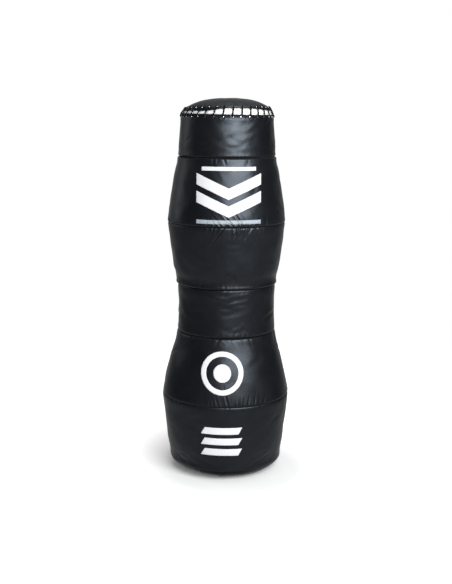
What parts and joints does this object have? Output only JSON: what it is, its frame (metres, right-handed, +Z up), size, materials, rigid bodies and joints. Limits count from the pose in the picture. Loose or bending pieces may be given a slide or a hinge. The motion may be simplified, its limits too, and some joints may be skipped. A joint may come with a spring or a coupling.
{
  "type": "grappling dummy",
  "caption": "Free-standing stuffed grappling dummy of sewn leather bands with narrow head and waist, wide chest and hips, and a domed lid laced to the collar.",
  "frame": {"origin": "centre of the flat underside, on the floor", "axes": "+Z up along the body's axis, -Y towards the front with the printed marks, +X to the right as seen from the front"},
  "size_m": [0.4125, 0.4126, 1.2006],
  "materials": {
    "black_leather": "satin",
    "white_strip": "satin",
    "white_print": "satin",
    "grey_print": "satin",
    "lace": "matte",
    "eyelet_metal": "polished",
    "foam": "matte",
    "filling": "matte",
    "seam_tape": "matte"
  },
  "bodies": {
    "hips": {"base_panel": "black_leather", "base_pad": "foam", "base_band": "black_leather", "base_foam_wrap": "foam", "base_print": "white_print", "hip_seam_tape": "seam_tape", "hip_band": "black_leather", "hip_foam_wrap": "foam", "hip_print": "white_print", "waist_low_seam_tape": "seam_tape", "lower_filling": "filling"},
    "waist": {"waist_band": "black_leather", "waist_foam_wrap": "foam", "waist_top_seam_tape": "seam_tape", "waist_filling": "filling"},
    "torso": {"belly_band": "black_leather", "belly_foam_wrap": "foam", "chest_seam_tape": "seam_tape", "chest_band": "black_leather", "chest_foam_wrap": "foam", "chest_print": "white_print", "chest_print_bar": "grey_print", "head_seam_tape": "seam_tape", "head_band": "black_leather", "head_foam_wrap": "foam", "upper_filling": "filling", "inner_strip": "white_strip", "collar_binding": "black_leather", "collar_eyelets": "eyelet_metal", "lace": "lace"},
    "lid": {"lid_cover": "black_leather", "lid_pad": "foam", "lid_binding": "black_leather", "lid_eyelets": "eyelet_metal"}
  },
  "joints": [
    {"name": "waist_bend", "type": "hinge", "parent": "hips", "child": "waist", "pos_m": [0, 0, 0.372], "axis": [1, 0, 0], "range_deg": [-15, 15], "stiffness_Nm_per_rad": 400},
    {"name": "waist_side_bend", "type": "hinge", "parent": "waist", "child": "torso", "pos_m": [0, 0, 0.525], "axis": [0, 1, 0], "range_deg": [-15, 15], "stiffness_Nm_per_rad": 400},
    {"name": "lid_lift", "type": "slide", "parent": "torso", "child": "lid", "axis": [0, 0, 1], "range_m": [0, 0.035], "deforming": ["lace"]}
  ]
}
